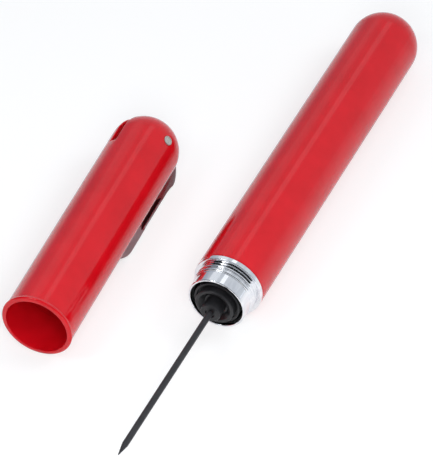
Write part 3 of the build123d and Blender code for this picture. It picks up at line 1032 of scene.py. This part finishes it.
profile = rounded_profile([
    (0, bore_end),
    (needle_bore, bore_end),
    (needle_bore, needle_tail),
    (tail_radius, needle_tail),
    (tail_radius, hub_front),
    (needle_radius, hub_front, shoulder_round),
    (needle_radius, needle_tip + point_length, taper_round),
    (point_flat, needle_tip, tip_round),
    (0, needle_tip),
])
needle = turned_piece(
    "needle_coated", profile, "needle", "needle_coat", around=64, hold=0.2 * mm, closed=False
)

# %% Side holes of the needle
half_drill = 3.0 * mm

drill = np.array([
    (0, -half_drill),
    (side_hole_radius, -half_drill),
    (side_hole_radius, half_drill),
    (0, half_drill),
])
hole_middle = pump_place @ Vector((0, side_hole_place, 0))
across_needle = local_frame(hole_middle, Vector((1, 0, 0)), Vector((0, 0, 1)))
points, quads = turned(drill, around=32, closed=False)
cut_away(needle, new_piece("side_hole_drill", points, quads, across_needle, "needle_coat"))

# %% [markdown]
# ## Barrel and bush
#
# They show when the handle is drawn out: the white barrel along its length, and the front edge of
# the bush inside the sleeve's mouth. Both are plain turned rings with small edge radii.

# %% Barrel and mouth bush
barrel_radius = 10.4 * mm
barrel_length = 116.0 * mm
bush_bore = 10.46 * mm
bush_end = sleeve_end_gap + 24.0 * mm
barrel_round, bush_round = 0.15 * mm, 0.1 * mm


def ring_profile(inner, outer, start, end, rounding):
    """Rectangle between two radii and two places, with rounded corners."""
    corners = [(inner, start), (outer, start), (outer, end), (inner, end)]
    return rounded_profile([(*corner, rounding) for corner in corners])


profile = ring_profile(spigot_radius, barrel_radius, 0, barrel_length, barrel_round)
turned_piece("barrel_moulded", profile, "pump_barrel", "white_plastic", around=160)

profile = ring_profile(bush_bore, sleeve_bore, sleeve_end_gap, bush_end, bush_round)
turned_piece("bush_moulded", profile, "mouth_bush", "white_plastic", around=160)

# %% [markdown]
# ## The valve's spring
#
# Inside the seat a small coil spring holds the check ball. When the ball opens, the spring gets
# shorter. A CAD mesh is loose triangles, so the copy is merged first.

# %% Merged copy of a CAD node
copy_merge_distance = 0.0005 * mm
flat_within_degrees = 0.4


def merged_copy(node, name, slot):
    """Copy of a CAD node with its points merged and its flat faces joined."""
    mesh = nodes[node].data.copy()
    mesh.name = name
    with edited(mesh) as work:
        bmesh.ops.remove_doubles(work, verts=work.verts, dist=copy_merge_distance)
        bmesh.ops.dissolve_limit(
            work,
            angle_limit=math.radians(flat_within_degrees),
            use_dissolve_boundaries=False,
            verts=work.verts,
            edges=work.edges,
        )
    mesh.materials.clear()
    mesh.materials.append(finishes[slot])
    return add_object(name, mesh)


# %% Valve spring
spring = merged_copy("valve_spring", "spring_wound", "steel")
spring.data.shade_smooth()
stands_for(spring, "valve_spring")
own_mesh(spring)

# %% [markdown]
# ## The cap
#
# The cap is a tube with a beaded mouth and a domed end. A slot runs over the dome, down to a
# short notch on one side and far down to the blade's pocket on the other. Cutting that slot with
# a boolean leaves thin slivers that spoil the gloss, so the grid is laid out to have the slot in
# it. Half of the cap is made and mirrored.
#
# - On the tube, a column is an angle a measured from the slot's middle: x = R sin a, z = -R cos a.
#   A few columns cover the slot's band, from a = 0 to the angle where x is half the slot's width.
# - On the dome, rows turn round the pin's line by an angle p and columns go out from the slot:
#   x = R sin a, y = R cos a sin p, z = -R cos a cos p. At p = 0 this is the tube's own circle.
#
# Cells of the slot's band are left out above the pocket's floor and above the notch's floor, and
# walls are laid between the outer and the inner surface along that edge.

# %% Sizes of the cap
cap_length = 92.05 * mm
cap_bore = 11.2 * mm
cap_inner = 11.5 * mm
mouth_bore_length = 16.0 * mm
bore_step_round = 0.2 * mm
half_slot = 1.6 * mm
pocket_floor_y = cap_length - 47.0 * mm
notch_floor_y = cap_length - 7.7 * mm
bead_radius = 12.9 * mm
bead_back = 0.7 * mm
bead_length = 1.8 * mm
mouth_round = 0.3 * mm
pocket_rows, notch_rows, bead_rows = 14, 6, 15
band_columns = 5
side_columns = 40
dome_rows = 96


# %% Profile of the cap's tube
def smooth_step(t):
    """Curve from 0 to 1 that is level at both ends: 3 t^2 - 2 t^3."""
    return t * t * (3 - 2 * t)


def straight(radius, places):
    """Line of points at one radius."""
    return np.stack([np.full(len(places), radius), places], 1)


below_notch = np.linspace(pocket_floor_y, notch_floor_y, pocket_rows)
beside_notch = np.linspace(notch_floor_y, cap_length, notch_rows)
slot_rows = np.unique(np.concatenate([below_notch, beside_notch]))
t = np.linspace(0, 1, bead_rows)
mouth_radius = cap_bore + mouth_round
lip = np.stack([
    mouth_radius + (bead_radius - mouth_radius) * np.sin(t * np.pi / 2),
    bead_back * (1 - np.cos(t * np.pi / 2)),
], 1)
bead = np.stack([
    bead_radius + (tube_radius - bead_radius) * smooth_step(t),
    bead_back + (bead_length - bead_back) * t,
], 1)
bore = rounded_profile([
    (cap_inner, pocket_floor_y),
    (cap_inner, mouth_bore_length + cap_inner - cap_bore, bore_step_round),
    (cap_bore, mouth_bore_length, bore_step_round),
    (cap_bore, 0, mouth_round),
    (mouth_radius, 0),
])
inside = straight(cap_inner, slot_rows)[::-1]
outside = straight(tube_radius, slot_rows)
tube_profile = np.concatenate([inside, bore[1:-1], lip[1:], bead[1:], outside])
print("cap profile has", len(tube_profile), "rows")


# %% Half of the cap
def slot_angle(radius):
    """Angle from the slot's middle at which x is half the slot's width."""
    return np.arcsin(half_slot / radius)


def tube_half(profile):
    """Half of the tube with x >= 0, without the cells of the slot, and the grid of its points."""
    wall = np.where(profile[:, 0] > (tube_radius + cap_inner) / 2, tube_radius, cap_inner)
    edge = slot_angle(wall)[:, None]
    band = np.linspace(0, 1, band_columns + 1)[:-1]
    side = np.linspace(0, 1, side_columns + 1)
    near = np.concatenate([edge * band, edge + (np.pi / 2 - edge) * side], 1)
    a = np.concatenate([near, np.pi - near[:, -2::-1]], 1)
    r, y = profile[:, :1], np.broadcast_to(profile[:, 1:], a.shape)
    points = np.stack([r * np.sin(a), y, -r * np.cos(a)], -1)
    quads = grid_quads(*a.shape)
    cells_across = a.shape[1] - 1
    cell_row, cell_column = np.divmod(np.arange(len(quads)), cells_across)
    slack = 1e-3 * mm
    height = np.minimum(profile[cell_row, 1], profile[cell_row + 1, 1])
    on_pocket = (cell_column < band_columns) & (height > pocket_floor_y - slack)
    on_notch = (cell_column >= cells_across - band_columns) & (height > notch_floor_y - slack)
    return (points.reshape(-1, 3), quads[~(on_pocket | on_notch)]), points


def dome_half(radius):
    """Half of the dome with x >= 0, and the line of its points along the slot."""
    p = np.linspace(0, np.pi, dome_rows + 1)[:, None]
    edge = slot_angle(radius)
    a = (edge + (np.pi / 2 - edge) * np.linspace(0, 1, side_columns + 1))[None, :]
    x = np.broadcast_to(radius * np.sin(a), (len(p), a.shape[1]))
    y = cap_length + radius * np.cos(a) * np.sin(p)
    points = np.stack([x, y, -radius * np.cos(a) * np.cos(p)], -1)
    return (points.reshape(-1, 3), grid_quads(len(p), a.shape[1])), points[:, 0]


tube, tube_grid = tube_half(tube_profile)
outer, outer_edge = dome_half(tube_radius)
inner, inner_edge = dome_half(cap_inner)
print("half cap:", sum(len(cells) for points, cells in (tube, outer, inner)), "cells")

# %% Slot walls
rows_in = np.arange(len(slot_rows))
rows_out = len(tube_profile) - 1 - rows_in
notch_in, notch_out = rows_in[:notch_rows], rows_out[:notch_rows]
notch_column = tube_grid.shape[1] - 1 - band_columns
pocket_columns = slice(0, band_columns + 1)
line_pairs = [
    (tube_grid[rows_in, band_columns], tube_grid[rows_out, band_columns]),
    (tube_grid[notch_in, notch_column], tube_grid[notch_out, notch_column]),
    (inner_edge, outer_edge),
    (tube_grid[rows_in[-1], pocket_columns], tube_grid[rows_out[-1], pocket_columns]),
    (tube_grid[notch_in[-1], notch_column:], tube_grid[notch_out[-1], notch_column:]),
]
walls = [(np.concatenate(pair), grid_quads(2, len(pair[0]))) for pair in line_pairs]
print(len(walls), "walls along the slot")


# %% The whole cap
def joined(parts):
    """One set of points and cells from several."""
    starts = np.cumsum([0] + [len(points) for points, cells in parts[:-1]])
    return (
        np.concatenate([points for points, cells in parts]),
        np.concatenate([cells + start for (points, cells), start in zip(parts, starts)]),
    )


half_points, half_quads = joined([tube, outer, inner, *walls])
points, quads = joined([(half_points, half_quads), (half_points * (-1, 1, 1), half_quads)])
cap = new_piece("cap_skin", points, quads, cap_place, "red_gloss")
with edited(cap.data) as work:
    bmesh.ops.recalc_face_normals(work, faces=work.faces)
soften_edges(cap, width=0.22 * mm, from_degrees=50)

# %% Pin holes in the dome
pin_radius = 1.7 * mm
pin_hole = 1.78 * mm
sink_radius = pin_hole + 0.25 * mm
sink_floor = 12.25 * mm
sink_top = 12.45 * mm
drill_radius = 4 * mm
drill_cone = 12.9 * mm
drill_end = 15 * mm

half_hole = np.array([
    (pin_hole, sink_floor),
    (sink_radius, sink_top),
    (drill_radius, drill_cone),
    (drill_radius, drill_end),
    (0, drill_end),
])
hole = np.concatenate([half_hole[::-1] * (1, -1), half_hole])
points, quads = turned(hole, around=96, closed=False)
pin_line = local_frame(cap_place @ Vector((0, pivot_from_mouth, 0)), cap_across, cap_along)
cut_away(cap, new_piece("pin_hole_drill", points, quads, pin_line, "red_gloss"))
stands_for(cap, "cap_shell")
print("cap:", len(cap.data.polygons), "faces")

# %% [markdown]
# ## Hinge pin
#
# The pin is a plain steel rod, riveted flush with the dome on both sides. Each end has a raised rim
# round a face that lies 0.2 mm lower, and the rim is the pale ring in the photograph.

# %% Pin
pin_half = 12.49 * mm
pin_rim = 0.38 * mm
pin_sunk = 0.2 * mm
rim_foot_round, rim_inner_round, rim_outer_round = 0.04 * mm, 0.15 * mm, 0.22 * mm

half_pin = [
    (pin_radius, pin_half, rim_outer_round),
    (pin_radius - pin_rim, pin_half, rim_inner_round),
    (pin_radius - pin_rim, pin_half - pin_sunk, rim_foot_round),
    (0, pin_half - pin_sunk),
]
other_half = [(r, -y, *rounding) for r, y, *rounding in half_pin[::-1]]
profile = rounded_profile(other_half + half_pin, steps=10)
points, quads = turned(held(profile, 0.2 * mm, closed=False), around=96, closed=False)
stands_for(new_piece("pin_riveted", points, quads, pin_line, "steel"), "hinge_pin")

# %% [markdown]
# ## Foil-cutter blade
#
# The CAD blade already has the right outline, teeth, bevels and nail nick, but its edges are knife
# sharp. A merged copy of it has its flat faces joined into single faces, and a small bevel breaks
# the edges as stoning does on a real blade.
#
# A shallow cut on each face comes first. Beside the nick the back is 0.12 mm lower, which leaves a
# lip on the nick's outer side, and its slope catches the pale surround. The cutter is a wedge with
# slanted ends: a profile across the blade, carried along it between two rings of points.

# %% Cutter for the blade's faces
half_blade = 0.9 * mm
lip_height = 0.12 * mm
lip_slope = 0.3 * mm
lip_low, lip_high = 66.5 * mm, 82.5 * mm
end_slant = 1 * mm
cutter_back = -18 * mm
cutter_side = half_blade + 1 * mm
spare = 0.05 * mm


def face_cutter(side):
    """Wedge that lowers one face beside the nick, from the nick outwards to the back."""
    top = nick_from_back + spare * lip_slope / lip_height
    across = np.array([
        (cutter_side, top),
        (half_blade + spare, top),
        (half_blade - lip_height, nick_from_back - lip_slope),
        (half_blade - lip_height, cutter_back),
        (cutter_side, cutter_back),
    ])
    x, z = side * across[:, 0], across[:, 1]
    shift = np.array([1, 1, -1, -1, 1]) * end_slant
    rings = [np.stack([x, y, z], 1) for y in (lip_low - shift, lip_high + shift)]
    middles = [np.broadcast_to(ring.mean(0), ring.shape) for ring in rings]
    points = np.concatenate([middles[0], *rings, middles[1]])
    quads = grid_quads(4, len(across), False, True)
    return new_piece("face_cutter", points, quads, cap_place, "blade_steel")


# %% Blade
blade = merged_copy("foil_blade", "blade_ground", "blade_steel")
for side in (-1, 1):
    cut_away(blade, face_cutter(side))
soften_edges(blade, width=0.12 * mm, from_degrees=28)
shade(blade.data, sharp_degrees=24)
stands_for(blade, "foil_blade")
